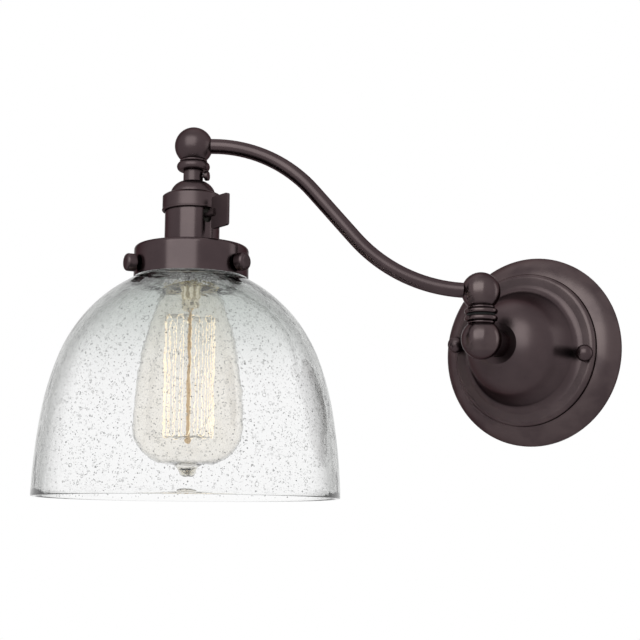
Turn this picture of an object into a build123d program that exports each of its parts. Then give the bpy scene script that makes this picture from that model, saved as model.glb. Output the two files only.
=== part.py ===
from build123d import *
from math import asin, cos, degrees, pi, radians, sin, sqrt
import os

# Swing arm wall lamp with a seeded glass shade, in millimetres.
# The origin is the canopy's centre on the wall, which is the plane Y = 0. The lamp stands out
# towards -Y and +Z is up. Azimuths are in degrees from straight out of the wall towards +X.

# Fits
thread_gap = 0.05
running_gap = 0.05
seat_gap = 0.05
lead_gap = 0.6

# Mounting bars
strap_thickness = 1.6
strap_width = 18.0
strap_corner = 4.0
box_strap_length = 100.0
box_screw_spacing = 69.85
box_slot_length = 12.0
box_slot_width = 5.0
strap_screw_radius = 2.4
strap_screw_head = 5.0
ground_screw_radius = 1.9
ground_screw_head = 4.0
ground_screw_height = 19.0
screw_head_height = 2.3
screw_slot_width = 1.1
screw_slot_depth = 1.1

# Canopy
canopy_radius = 62.5
canopy_wall = 1.2
canopy_edge = 2.0
flange_height = 11.0
flange_bulge = 1.5
ridge_radius = 50.2
ridge_step = 2.0
ridge_round = 3.0
ridge_top_width = 4.6
cove_radius = 6.0
cove_turn = 60.0
bell_foot_radius = 31.5
bell_foot_height = 33.0
nose_radius = 13.0
nose_height = 51.5

# Studs and ball nuts that hold the canopy, turned a little off level
canopy_turn = -7.0
stud_spacing = 92.4
stud_radius = 2.1
stud_margin = 6.0
stud_nut_size = 7.0
stud_nut_height = 2.6
ball_nut_radius = 5.4
ball_nut_foot_radius = 3.2
ball_nut_foot = 1.0
ball_nut_top_wall = 3.0

# Stem on the canopy's nose
swivel_standoff = 74.0
stem_radius = 8.6
nipple_radius = 4.75
nipple_bore = 2.9
nipple_tail = 2.5
stem_nut_size = 14.0
stem_nut_height = 4.0
stem_washer_radius = 9.0
stem_washer_height = 1.2

# Swivel between the two balls
base_ball_radius = 12.6
knuckle_ball_radius = 12.2
neck_radius = 7.7
bead_radius = 8.6
bead_height = 1.5
bead_sink = 0.4
collar_radius = 10.4
collar_height = 3.1
collar_bulge = 1.5
swivel_washer_radius = 8.7
swivel_washer_height = 1.4
spindle_radius = 4.5
spindle_bore = 2.9
stop_screw_radius = 1.2
stop_dog_radius = 0.9
stop_groove_depth = 0.8
stop_screw_recess = 0.6
stop_slack = 1.0  # degrees past each limit
swing_limit = 78.0

# Arm
arm_azimuth = -57.0
arm_reach = 181.0
arm_rise = 92.0
arm_tilt = 4.0
arm_slope = 48.5
arm_run_in = 0.6
arm_run_out = 0.6
low_bend_radius = 97.0
tube_radius = 4.75
tube_wall = 1.2
tube_seat = 1.5
lead_radius = 2.2
lead_bend = 6.0

# Lamp ball and head pivot
lamp_ball_radius = 12.0
lamp_collar_height = 5.4
head_nipple_root = 6.5
head_nipple_tail = 2.5
head_limit = 150.0

# Socket cap
hub_radius = 6.2
hub_gap = 0.15
hub_length = 6.7
cap_wall = 1.0
cap_dome_radius = 14.0
cap_dome_height = 7.4
cap_dome_bulge = 1.5
cap_step = 0.6
cap_shoulder_height = 2.2
cap_shoulder_bulge = 0.5
cap_skirt_radius = 18.9
cap_skirt_height = 8.6
cap_lip_radius = 0.95
set_screw_azimuth = 110.0
set_screw_drop = 3.4
set_screw_neck_radius = 1.25
set_screw_neck = 1.5
set_screw_head_radius = 3.1
set_screw_head = 2.6

# Socket shell, sleeve and interior
shell_radius = 17.2
shell_wall = 0.8
shell_top_drop = 1.5
shell_exposed = 21.8
shell_inside = 26.2
sleeve_wall = 0.8
sleeve_margin = 1.5
body_top_drop = 4.5
body_height = 19.4
terminal_flat = 11.0
terminal_recess_width = 12.0
terminal_recess_height = 12.0
terminal_screw_drop = 7.0
terminal_screw_radius = 1.5
terminal_screw_depth = 5.0
terminal_head_radius = 3.0
terminal_head_height = 1.8
terminal_lead_radius = 0.8
terminal_lead_bend = 2.0
terminal_lead_spread = 1.5
screw_shell_length = 28.0
screw_shell_wall = 0.5
screw_shell_opening = 9.0
contact_width = 5.0
contact_reach = 7.0
contact_thickness = 0.5
contact_drop = 1.9

# Turn key
key_azimuth = 71.0
key_drop = 5.4
key_hole_height = 9.5
key_hole_width = 6.0
key_shaft_radius = 1.6
key_shaft_inner = 3.0
key_boss_radius = 2.6
key_boss_length = 5.5
key_paddle_inner = 23.0
key_paddle_length = 17.0
key_paddle_height = 20.0
key_paddle_thickness = 2.0
key_paddle_corner = 1.5
key_boss_lead = 1.5
rotor_radius = 4.5
rotor_length = 6.4
rotor_gap = 0.3

# Shade holder and its screws
holder_radius = 35.8
holder_wall = 1.2
holder_cone_radius = 33.2
holder_cone_drop = 1.6
holder_corner_drop = 2.8
holder_corner_bulge = 0.75
holder_height = 21.3
holder_ring_radius = 20.5
holder_ring_height = 4.0
holder_screw_azimuth = -31.0
holder_screw_count = 3
holder_screw_rise = 6.7
holder_screw_radius = 1.9
holder_screw_neck_radius = 2.6
holder_screw_neck = 1.4
holder_screw_head_radius = 5.5
holder_screw_head = 6.2
holder_screw_round = 2.2

# Glass shade
glass_wall = 3.0
glass_lip_gap = 1.6
glass_lip_step = 1.6
glass_lip_height = 2.2
glass_lip_rest = 0.3
shade_shoulder_rise = 1.2
shade_height = 137.6
mouth_radius = 94.1
mouth_lean = 1.2
mouth_arc_radius = 375.0
mouth_arc = 7.5
side_arc_radius = 184.0
side_arc = 11.7

# Bulb
base_crest_radius = 13.0
base_thread_depth = 0.75
base_thread_pitch = 3.63
base_thread_turns = 4
base_metal = 0.4
base_gap = 0.3
bulb_contact_radius = 4.6
bulb_contact_height = 1.4
bulb_insulator_height = 3.4
bulb_insulator_radius = 11.0
base_lead_in = 1.2
base_skirt = 7.0
bulb_wall = 0.8
bulb_neck_radius = 12.4
bulb_neck_length = 5.5
bulb_shoulder_radius = 18.0
bulb_neck_show = 2.0
bulb_shoulder_drop = 5.5
bulb_shoulder_bulge = 1.1
bulb_radius = 34.0
bulb_length = 114.0
bulb_corner = 23.0
bulb_tip_radius = 6.0
bulb_tip_root = 3.0
bulb_tip_length = 7.0

# Glass mount and filament cage in the bulb
flare_gap = 0.2
flare_height = 7.5
stem_tube_radius = 6.0
stem_tube_bore = 4.4
stem_tube_length = 5.0
press_width = 12.0
press_thickness = 4.4
press_height = 7.0
post_radius = 1.25
post_overrun = 4.4
cage_radius = 15.4
cage_drop = 25.0
cage_height = 70.0
strand_count = 20
strand_radius = 0.2
hook_radius = 0.2
hook_overrun = 0.8
cage_lead_radius = 0.3
cage_lead_spread = 2.6
cage_lead_bend = 1.5

# Places worked out from the sizes above
quarter_rise = 1 - sqrt(0.5)
up = Vector(0, 0, 1)
wall_axis = Axis((0, 0, 0), (0, -1, 0))
wall_section = Plane((0, 0, 0), x_dir=(1, 0, 0), z_dir=(0, 0, -1))


def toward(azimuth):
    """Level unit vector at an azimuth from straight out of the wall."""
    return Vector(sin(radians(azimuth)), -cos(radians(azimuth)), 0)


def upright_section(centre):
    """Plane through a vertical axis: local x is the radius and local y the height over centre."""
    return Plane(centre, x_dir=(1, 0, 0), z_dir=(0, -1, 0))


def spoke(centre, azimuth):
    """Plane whose local x runs outwards from centre at an azimuth and whose local y is up."""
    outwards = toward(azimuth)
    return Plane(centre, x_dir=outwards, z_dir=outwards.cross(up))


def facing(centre, azimuth, distance):
    """Plane square to a level direction at a distance from centre, with local x upwards."""
    outwards = toward(azimuth)
    return Plane(centre + outwards * distance, x_dir=up, z_dir=outwards)


def half_section(plane, *points):
    """Face of a straight-sided half section, ready to be turned about its axis."""
    with BuildSketch(plane) as section:
        with BuildLine():
            Polyline(*points, close=True)
        make_face()
    return section.sketch


def ring_section(plane, seat, way, ring_height):
    """Half section of the bead and ring collar that leave a ball at seat, up or down its axis."""
    bead_start = seat - way * bead_sink
    bead_end = seat + way * bead_height
    ring_end = bead_end + way * ring_height
    ring_flat = collar_radius - collar_bulge
    bead_middle = (bead_radius, (seat + bead_end) / 2)
    collar_middle = (collar_radius, (bead_end + ring_end) / 2)
    with BuildSketch(plane) as section:
        with BuildLine():
            Polyline((neck_radius, bead_start), (neck_radius, 0), (0, 0), (0, ring_end))
            Line((0, ring_end), (ring_flat, ring_end))
            ThreePointArc((ring_flat, ring_end), collar_middle, (ring_flat, bead_end))
            Line((ring_flat, bead_end), (neck_radius, bead_end))
            ThreePointArc((neck_radius, bead_end), bead_middle, (neck_radius, bead_start))
        make_face()
    return section.sketch


def disc(plane, radius, bore=0):
    """Round face on a plane, with a hole if a bore is given."""
    with BuildSketch(plane) as face:
        Circle(radius)
        if bore:
            Circle(bore, mode=Mode.SUBTRACT)
    return face.sketch


def hexagon(plane, size, bore):
    """Face of a hexagon nut of a given width over its flats."""
    with BuildSketch(plane) as face:
        RegularPolygon(size / 2, 6, major_radius=False)
        Circle(bore, mode=Mode.SUBTRACT)
    return face.sketch


def slotted_screw(seat, shank_radius, shank_length, head_radius):
    """Slotted pan head screw whose head stands on the plane seat."""
    extrude(disc(seat, shank_radius), amount=-shank_length)
    extrude(disc(seat, head_radius), amount=screw_head_height)
    with BuildSketch(seat.offset(screw_head_height)) as slot:
        Rectangle(3 * head_radius, screw_slot_width)
    extrude(slot.sketch, amount=-screw_slot_depth, mode=Mode.SUBTRACT)


def save(piece, label):
    """Label a finished piece and write it as its own file."""
    piece.part.label = label
    export_step(piece.part, f"parts/{label}.step")


os.makedirs("parts", exist_ok=True)

# Swivel heights over the lower ball's centre
base_centre = Vector(0, -swivel_standoff, 0)
base_seat = sqrt(base_ball_radius**2 - neck_radius**2)
base_ring_end = base_seat + bead_height + collar_height
washer_end = base_ring_end + swivel_washer_height
knuckle_seat = sqrt(knuckle_ball_radius**2 - neck_radius**2)
knuckle_height = washer_end + collar_height + bead_height + knuckle_seat
knuckle_centre = base_centre + up * knuckle_height
swivel_axis = Axis(base_centre, (0, 0, 1))
swivel_section = upright_section(base_centre)
knuckle_section = upright_section(knuckle_centre)

# Lamp axis, and heights of the head over the lamp ball's centre
lamp_centre = knuckle_centre + toward(arm_azimuth) * arm_reach + up * arm_rise
lamp_axis = Axis(lamp_centre, (0, 0, 1))
lamp_section = upright_section(lamp_centre)
lamp_seat = sqrt(lamp_ball_radius**2 - neck_radius**2)
lamp_ring_end = -lamp_seat - bead_height - lamp_collar_height
hub_top = lamp_ring_end - hub_gap
cap_top = hub_top - hub_length
cap_dome_foot = cap_top - cap_dome_height
cap_shoulder_top = cap_dome_foot - cap_step
cap_skirt_top = cap_shoulder_top - cap_shoulder_height
cap_skirt_end = cap_skirt_top - cap_skirt_height
set_screw_height = hub_top - set_screw_drop
shell_top = cap_skirt_top - shell_top_drop
holder_top = cap_skirt_end - shell_exposed
shell_end = holder_top - shell_inside
holder_end = holder_top - holder_height
key_height = cap_skirt_end - key_drop
body_top = cap_skirt_top - body_top_drop
body_end = body_top - body_height
screw_shell_end = body_end - screw_shell_length


def at_lamp(height):
    """Point on the lamp axis at a height over the lamp ball's centre."""
    return lamp_centre + up * height


def lamp_level(height):
    """Level plane across the lamp axis."""
    return Plane(at_lamp(height), x_dir=(1, 0, 0), z_dir=(0, 0, 1))


# Mounting bars, one on the outlet box and one turning on it that carries the canopy
with BuildPart() as box_strap:
    with BuildSketch(Plane.XZ):
        RectangleRounded(strap_width, box_strap_length, strap_corner)
        with Locations((0, box_screw_spacing / 2), (0, -box_screw_spacing / 2)):
            SlotOverall(box_slot_length, box_slot_width, rotation=90, mode=Mode.SUBTRACT)
        Circle(strap_screw_radius + thread_gap, mode=Mode.SUBTRACT)
        with Locations((0, ground_screw_height)):
            Circle(ground_screw_radius + thread_gap, mode=Mode.SUBTRACT)
    extrude(amount=strap_thickness)
save(box_strap, "box_strap")

swivel_strap_plane = Plane.XZ.offset(strap_thickness)
strap_front = 2 * strap_thickness
with BuildPart() as swivel_strap:
    with BuildSketch(swivel_strap_plane):
        RectangleRounded(stud_spacing + 2 * stud_margin, strap_width, strap_corner, rotation=canopy_turn)
        with PolarLocations(stud_spacing / 2, 2, canopy_turn):
            Circle(stud_radius + thread_gap, mode=Mode.SUBTRACT)
        Circle(strap_screw_radius + thread_gap, mode=Mode.SUBTRACT)
    extrude(amount=strap_thickness)
save(swivel_strap, "swivel_strap")

with BuildPart() as strap_screw:
    slotted_screw(Plane.XZ.offset(strap_front), strap_screw_radius, strap_front, strap_screw_head)
save(strap_screw, "strap_screw")

ground_screw_seat = Plane((0, -strap_thickness, ground_screw_height), x_dir=(1, 0, 0), z_dir=(0, -1, 0))
with BuildPart() as ground_screw:
    slotted_screw(ground_screw_seat, ground_screw_radius, strap_thickness, ground_screw_head)
save(ground_screw, "ground_screw")

# Canopy
ridge_height = flange_height + ridge_step + ridge_round
ridge_inner_radius = ridge_radius - ridge_round - ridge_top_width
cove_end_radius = ridge_inner_radius - cove_radius * sin(radians(cove_turn))
cove_end_height = ridge_height + cove_radius * (1 - cos(radians(cove_turn)))


def canopy_section(inset):
    """Half section under the canopy's skin, drawn in from it towards the wall and the axis."""

    def skin(radius, height):
        return (radius - inset, height - inset)

    back = (canopy_radius - inset, -inset)
    edge = skin(canopy_radius, canopy_edge)
    ridge_foot = skin(ridge_radius, flange_height)
    ridge_side = skin(ridge_radius, flange_height + ridge_step)
    ridge_outer = skin(ridge_radius - ridge_round, ridge_height)
    ridge_inner = skin(ridge_inner_radius, ridge_height)
    cove_end = skin(cove_end_radius, cove_end_height)
    bell_foot = skin(bell_foot_radius, bell_foot_height)
    nose_edge = skin(nose_radius, nose_height)
    with BuildSketch(wall_section) as section:
        with BuildLine():
            Polyline((0, nose_height - inset), (0, -inset), back, edge)
            SagittaArc(edge, ridge_foot, -flange_bulge)
            Line(ridge_foot, ridge_side)
            SagittaArc(ridge_side, ridge_outer, -quarter_rise * ridge_round)
            Line(ridge_outer, ridge_inner)
            cove = TangentArc(ridge_inner, cove_end, tangent=(-1, 0))
            rise = TangentArc(cove_end, bell_foot, tangent=cove % 1)
            TangentArc(bell_foot, nose_edge, tangent=rise % 1)
            Line(nose_edge, (0, nose_height - inset))
        make_face()
    return section.sketch


with BuildPart() as canopy:
    revolve(canopy_section(0), axis=wall_axis)
    revolve(canopy_section(canopy_wall), axis=wall_axis, mode=Mode.SUBTRACT)
    extrude(disc(Plane.XZ, nipple_radius + thread_gap), amount=2 * nose_height, mode=Mode.SUBTRACT)
    with BuildSketch(Plane.XZ):
        with PolarLocations(stud_spacing / 2, 2, canopy_turn):
            Circle(stud_radius + thread_gap)
    extrude(amount=2 * nose_height, mode=Mode.SUBTRACT)
save(canopy, "canopy")

# Studs, their locknuts and the ball nuts
ball_nut_rise = ball_nut_foot + sqrt(ball_nut_radius**2 - ball_nut_foot_radius**2)
ball_nut_centre = ridge_height + ball_nut_rise
stud_end = ball_nut_centre + ball_nut_radius - ball_nut_top_wall
with BuildPart() as canopy_studs:
    with BuildSketch(swivel_strap_plane):
        with PolarLocations(stud_spacing / 2, 2, canopy_turn):
            Circle(stud_radius)
    extrude(amount=stud_end - strap_thickness)
save(canopy_studs, "canopy_studs")

with BuildPart() as stud_locknuts:
    with BuildSketch(Plane.XZ.offset(strap_front)):
        with PolarLocations(stud_spacing / 2, 2, canopy_turn):
            RegularPolygon(stud_nut_size / 2, 6, major_radius=False)
            Circle(stud_radius + thread_gap, mode=Mode.SUBTRACT)
    extrude(amount=stud_nut_height)
save(stud_locknuts, "stud_locknuts")

with BuildPart() as canopy_nuts:
    for side in (0, 180):
        turn = radians(canopy_turn + side)
        nut_x = stud_spacing / 2 * cos(turn)
        nut_z = stud_spacing / 2 * sin(turn)
        nut_base = Plane((nut_x, -ridge_height, nut_z), x_dir=(1, 0, 0), z_dir=(0, -1, 0))
        with Locations((nut_x, -ball_nut_centre, nut_z)):
            Sphere(ball_nut_radius)
        extrude(disc(nut_base, ball_nut_foot_radius), amount=ball_nut_rise)
        below_base = disc(nut_base.offset(-ball_nut_radius), 2 * ball_nut_radius)
        extrude(below_base, amount=ball_nut_radius, mode=Mode.SUBTRACT)
        stud_hole = disc(nut_base, stud_radius + thread_gap)
        extrude(stud_hole, amount=stud_end + thread_gap - ridge_height, mode=Mode.SUBTRACT)
save(canopy_nuts, "canopy_nuts")

# Stem, with the hollow nipple that clamps it and the swivel base to the canopy
nose_back = nose_height - canopy_wall
stem_nut_back = nose_back - stem_washer_height - stem_nut_height
nipple_start = stem_nut_back - nipple_tail
nipple_end = swivel_standoff - lead_bend
with BuildPart() as stem:
    stem_end = disc(Plane.XZ.offset(nose_height), stem_radius, nipple_radius + thread_gap)
    extrude(stem_end, amount=swivel_standoff - nose_height)
    with Locations(base_centre):
        Sphere(base_ball_radius + seat_gap, mode=Mode.SUBTRACT)
save(stem, "stem")

with BuildPart() as stem_nipple:
    nipple_face = disc(Plane.XZ.offset(nipple_start), nipple_radius, nipple_bore)
    extrude(nipple_face, amount=nipple_end - nipple_start)
save(stem_nipple, "stem_nipple")

with BuildPart() as stem_washer:
    washer_back = Plane.XZ.offset(nose_back - stem_washer_height)
    extrude(disc(washer_back, stem_washer_radius, nipple_radius + thread_gap), amount=stem_washer_height)
save(stem_washer, "stem_washer")

with BuildPart() as stem_locknut:
    nut_face = hexagon(Plane.XZ.offset(stem_nut_back), stem_nut_size, nipple_radius + thread_gap)
    extrude(nut_face, amount=stem_nut_height)
save(stem_locknut, "stem_locknut")

# Swivel base: lower ball, bored for the nipple from behind and for the spindle from above
stop_height = (base_seat + bead_height + base_ring_end) / 2
stop_centre = base_centre + up * stop_height
stop_azimuth = 180.0
dog_tip = spindle_radius - stop_groove_depth + running_gap
with BuildPart() as swivel_base:
    with Locations(base_centre):
        Sphere(base_ball_radius)
    revolve(ring_section(swivel_section, base_seat, 1, collar_height), axis=swivel_axis)
    spindle_hole = disc(Plane(base_centre), spindle_radius + running_gap)
    extrude(spindle_hole, amount=base_ring_end, mode=Mode.SUBTRACT)
    nipple_hole = disc(Plane.XZ.offset(swivel_standoff + lead_bend), nipple_radius + thread_gap)
    extrude(nipple_hole, amount=-2 * base_ball_radius, mode=Mode.SUBTRACT)
    screw_hole = disc(facing(stop_centre, stop_azimuth, 0), stop_screw_radius + thread_gap)
    extrude(screw_hole, amount=collar_radius, mode=Mode.SUBTRACT)
save(swivel_base, "swivel_base")

with BuildPart() as swivel_stop_screw:
    dog_face = facing(stop_centre, stop_azimuth, dog_tip)
    thread_face = facing(stop_centre, stop_azimuth, spindle_radius + 2 * running_gap)
    screw_length = collar_radius - stop_screw_recess - spindle_radius - 2 * running_gap
    extrude(disc(dog_face, stop_dog_radius), amount=spindle_radius + 2 * running_gap - dog_tip)
    extrude(disc(thread_face, stop_screw_radius), amount=screw_length)
    with BuildSketch(thread_face.offset(screw_length)):
        Rectangle(3 * stop_screw_radius, stop_screw_radius / 3)
    extrude(amount=-stop_screw_radius / 2, mode=Mode.SUBTRACT)
save(swivel_stop_screw, "swivel_stop_screw")

with BuildPart() as swivel_washer:
    washer_plane = Plane(base_centre + up * base_ring_end)
    washer_face = disc(washer_plane, swivel_washer_radius, spindle_radius + 2 * running_gap)
    extrude(washer_face, amount=swivel_washer_height)
save(swivel_washer, "swivel_washer")

# Arm's upright plane, and the direction in which the tube leaves the knuckle


def on_arm(out, height):
    """Point in the arm's upright plane, out from the swivel axis and over the knuckle's centre."""
    return knuckle_centre + toward(arm_azimuth) * out + up * height


def along_tilt(distance):
    """Point at a distance from the knuckle's centre along the tube's first straight run."""
    return on_arm(distance * cos(radians(arm_tilt)), distance * sin(radians(arm_tilt)))


tilted = along_tilt(1) - knuckle_centre

# Swivel knuckle and its spindle, whose part groove runs on the stop screw between the swing's limits
tube_start = spindle_radius + tube_seat
cross_bore = tube_radius + thread_gap
spindle_start = nipple_radius + 2 * thread_gap + running_gap
spindle_end = knuckle_height - cross_bore - seat_gap
groove_half = swing_limit + degrees(asin(stop_dog_radius / dog_tip)) + stop_slack
groove_reach = stop_dog_radius + running_gap
groove_plane = spoke(stop_centre, stop_azimuth + arm_azimuth - groove_half)
with BuildPart() as swivel_knuckle:
    with Locations(knuckle_centre):
        Sphere(knuckle_ball_radius)
    revolve(ring_section(knuckle_section, -knuckle_seat, -1, collar_height), axis=swivel_axis)
    spindle_seat = disc(Plane(knuckle_centre), spindle_radius + thread_gap)
    extrude(spindle_seat, amount=-knuckle_height, mode=Mode.SUBTRACT)
    tube_hole = disc(Plane(along_tilt(-lead_bend), z_dir=tilted), cross_bore)
    extrude(tube_hole, amount=2 * knuckle_ball_radius, mode=Mode.SUBTRACT)
save(swivel_knuckle, "swivel_knuckle")

with BuildPart() as swivel_spindle:
    spindle_face = disc(Plane(base_centre + up * spindle_start), spindle_radius, spindle_bore)
    extrude(spindle_face, amount=spindle_end - spindle_start)
    with BuildSketch(groove_plane) as groove:
        with Locations((spindle_radius, 0)):
            Rectangle(2 * stop_groove_depth, 2 * groove_reach)
    revolve(groove.sketch, axis=swivel_axis, revolution_arc=2 * groove_half, mode=Mode.SUBTRACT)
save(swivel_spindle, "swivel_spindle")

# Arm: two bends with a straight run between them, tilted where it starts and level where it ends
tilt_angle = radians(arm_tilt)
bend_angle = radians(arm_slope)
low_bend_start = knuckle_ball_radius + arm_run_in
high_bend_end = arm_reach - lamp_ball_radius - arm_run_out
low_bend_out = low_bend_start * cos(tilt_angle) - low_bend_radius * sin(tilt_angle)
low_bend_height = low_bend_start * sin(tilt_angle) + low_bend_radius * cos(tilt_angle)
straight_span = high_bend_end - low_bend_out - low_bend_radius * sin(bend_angle)
straight_rise = arm_rise - low_bend_height + low_bend_radius * cos(bend_angle)
straight_offset = straight_span * sin(bend_angle) - straight_rise * cos(bend_angle)
high_bend_radius = straight_offset / (1 - cos(bend_angle))


def low_bend(angle):
    """Point on the arm's lower bend, which turns upwards."""
    out = low_bend_out + low_bend_radius * sin(angle)
    return on_arm(out, low_bend_height - low_bend_radius * cos(angle))


def high_bend(angle):
    """Point on the arm's upper bend, which turns back to level."""
    out = high_bend_end - high_bend_radius * sin(angle)
    return on_arm(out, arm_rise - high_bend_radius * (1 - cos(angle)))


def arm_line(start, end):
    """Centre line of the arm's bends, between level runs that begin at start and finish at end."""
    Line(start, low_bend(tilt_angle))
    ThreePointArc(low_bend(tilt_angle), low_bend((tilt_angle + bend_angle) / 2), low_bend(bend_angle))
    Line(low_bend(bend_angle), high_bend(bend_angle))
    ThreePointArc(high_bend(bend_angle), high_bend(bend_angle / 2), high_bend(0))
    Line(high_bend(0), end)


tube_mouth = along_tilt(tube_start)
tube_far_end = on_arm(arm_reach - tube_start, arm_rise)
with BuildPart() as arm_tube:
    with BuildLine() as tube_path:
        arm_line(tube_mouth, tube_far_end)
    with BuildSketch(Plane(tube_mouth, z_dir=tilted)):
        Circle(tube_radius)
        Circle(tube_radius - tube_wall, mode=Mode.SUBTRACT)
    sweep(path=tube_path.wires()[0])
save(arm_tube, "arm_tube")

# Lamp ball, bored for the tube from the side and for the head nipple from below
head_nipple_end = cap_top - head_nipple_tail
head_dog_tip = nipple_radius - stop_groove_depth + running_gap
head_groove_half = head_limit + degrees(asin(stop_dog_radius / head_dog_tip)) + stop_slack
head_groove_plane = spoke(at_lamp(set_screw_height), set_screw_azimuth + head_groove_half)
with BuildPart() as lamp_ball:
    with Locations(lamp_centre):
        Sphere(lamp_ball_radius)
    revolve(ring_section(lamp_section, -lamp_seat, -1, lamp_collar_height), axis=lamp_axis)
    extrude(disc(Plane(lamp_centre), nipple_radius + thread_gap), amount=lamp_ring_end, mode=Mode.SUBTRACT)
    far_hole = disc(facing(lamp_centre, arm_azimuth, lead_bend), cross_bore)
    extrude(far_hole, amount=-2 * lamp_ball_radius, mode=Mode.SUBTRACT)
save(lamp_ball, "lamp_ball")

with BuildPart() as head_nipple:
    head_nipple_face = disc(lamp_level(-head_nipple_root), nipple_radius, nipple_bore)
    extrude(head_nipple_face, amount=head_nipple_end + head_nipple_root)
    with BuildSketch(head_groove_plane) as head_groove:
        with Locations((nipple_radius, 0)):
            Rectangle(2 * stop_groove_depth, 2 * groove_reach)
    revolve(head_groove.sketch, axis=lamp_axis, revolution_arc=-2 * head_groove_half, mode=Mode.SUBTRACT)
save(head_nipple, "head_nipple")

# Leads, held inside the stem, the spindle, the arm and the head nipple
bend_lag = lead_bend * (1 - cos(pi / 4))
with BuildPart() as supply_lead:
    with BuildLine() as supply_path:
        Line((0, -nipple_start, 0), (0, lead_bend - swivel_standoff, 0))
        ThreePointArc(
            (0, lead_bend - swivel_standoff, 0),
            (0, bend_lag - swivel_standoff, bend_lag),
            (0, -swivel_standoff, lead_bend),
        )
    with BuildSketch(Plane.XZ.offset(nipple_start)):
        Circle(lead_radius)
    sweep(path=supply_path.wires()[0])
save(supply_lead, "supply_lead")

with BuildPart() as arm_lead:
    with BuildLine() as lead_path:
        Line(base_centre + up * (lead_bend + lead_gap), on_arm(0, -lead_bend))
        TangentArc(on_arm(0, -lead_bend), along_tilt(lead_bend), tangent=up)
        arm_line(along_tilt(lead_bend), on_arm(arm_reach - lead_bend, arm_rise))
        ThreePointArc(
            on_arm(arm_reach - lead_bend, arm_rise),
            on_arm(arm_reach - bend_lag, arm_rise - bend_lag),
            on_arm(arm_reach, arm_rise - lead_bend),
        )
        Line(on_arm(arm_reach, arm_rise - lead_bend), at_lamp(head_nipple_end))
    with BuildSketch(Plane(base_centre + up * (lead_bend + lead_gap))):
        Circle(lead_radius)
    sweep(path=lead_path.wires()[0])
save(arm_lead, "arm_lead")

# Socket cap


def cap_section(inset):
    """Half section under the cap's dome and skirt, drawn in from its skin."""

    def skin(radius, height):
        return (radius - inset, height - inset)

    dome_top = skin(hub_radius, cap_top)
    dome_foot = skin(cap_dome_radius, cap_dome_foot)
    shoulder_top = skin(cap_dome_radius, cap_shoulder_top)
    skirt_top = skin(cap_skirt_radius, cap_skirt_top)
    skirt_end = (cap_skirt_radius - inset, cap_skirt_end - inset)
    with BuildSketch(lamp_section) as section:
        with BuildLine():
            Polyline(skirt_top, skirt_end, (0, cap_skirt_end - inset), (0, cap_top - inset), dome_top)
            SagittaArc(dome_top, dome_foot, cap_dome_bulge)
            Line(dome_foot, shoulder_top)
            SagittaArc(shoulder_top, skirt_top, cap_shoulder_bulge)
        make_face()
    return section.sketch


lip_ring_radius = shell_radius + seat_gap + cap_lip_radius
with BuildPart() as socket_cap:
    revolve(cap_section(0), axis=lamp_axis)
    extrude(disc(lamp_level(cap_top - cap_wall), hub_radius), amount=hub_length + cap_wall)
    revolve(cap_section(cap_wall), axis=lamp_axis, mode=Mode.SUBTRACT)
    with Locations(at_lamp(cap_skirt_end)):
        Torus(lip_ring_radius, cap_lip_radius)
    hub_hole = disc(lamp_level(hub_top), nipple_radius + running_gap)
    extrude(hub_hole, amount=-2 * hub_length, mode=Mode.SUBTRACT)
    set_screw_line = facing(at_lamp(set_screw_height), set_screw_azimuth, 0)
    set_screw_hole = disc(set_screw_line, set_screw_neck_radius + thread_gap)
    extrude(set_screw_hole, amount=2 * hub_radius, mode=Mode.SUBTRACT)
save(socket_cap, "socket_cap")

set_screw_spoke = spoke(at_lamp(set_screw_height), set_screw_azimuth)
set_screw_axis = Axis(set_screw_spoke.origin, set_screw_spoke.x_dir)
set_screw_shoulder = nipple_radius + 2 * running_gap
set_screw_head_start = hub_radius + set_screw_neck
set_screw_head_end = set_screw_head_start + set_screw_head
with BuildPart() as cap_set_screw:
    set_screw_half = half_section(
        set_screw_spoke,
        (head_dog_tip, 0),
        (head_dog_tip, stop_dog_radius),
        (set_screw_shoulder, stop_dog_radius),
        (set_screw_shoulder, set_screw_neck_radius),
        (set_screw_head_start, set_screw_neck_radius),
        (set_screw_head_start, set_screw_head_radius),
        (set_screw_head_end, set_screw_head_radius),
        (set_screw_head_end, 0),
    )
    revolve(set_screw_half, axis=set_screw_axis)
    head_rims = edges().filter_by(GeomType.CIRCLE).group_by(SortBy.RADIUS)[-1]
    fillet(head_rims, set_screw_head / 4)
save(cap_set_screw, "cap_set_screw")

# Socket shell and insulating sleeve, with the key's opening
key_centre = at_lamp(key_height)
key_plane = facing(key_centre, key_azimuth, 0)


def key_opening():
    """Face of the upright oblong hole that the key's shaft comes out of."""
    with BuildSketch(key_plane) as face:
        SlotOverall(key_hole_height, key_hole_width)
    return face.sketch


sleeve_radius = shell_radius - shell_wall - seat_gap
body_radius = sleeve_radius - sleeve_wall - seat_gap
with BuildPart() as socket_shell:
    shell_face = disc(lamp_level(shell_end), shell_radius, shell_radius - shell_wall)
    extrude(shell_face, amount=shell_top - shell_end)
    extrude(key_opening(), amount=2 * shell_radius, mode=Mode.SUBTRACT)
save(socket_shell, "socket_shell")

sleeve_end = shell_end + sleeve_margin
with BuildPart() as socket_sleeve:
    sleeve_face = disc(lamp_level(sleeve_end), sleeve_radius, sleeve_radius - sleeve_wall)
    extrude(sleeve_face, amount=shell_top - sleeve_end)
    extrude(key_opening(), amount=2 * shell_radius, mode=Mode.SUBTRACT)
save(socket_sleeve, "socket_sleeve")

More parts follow.
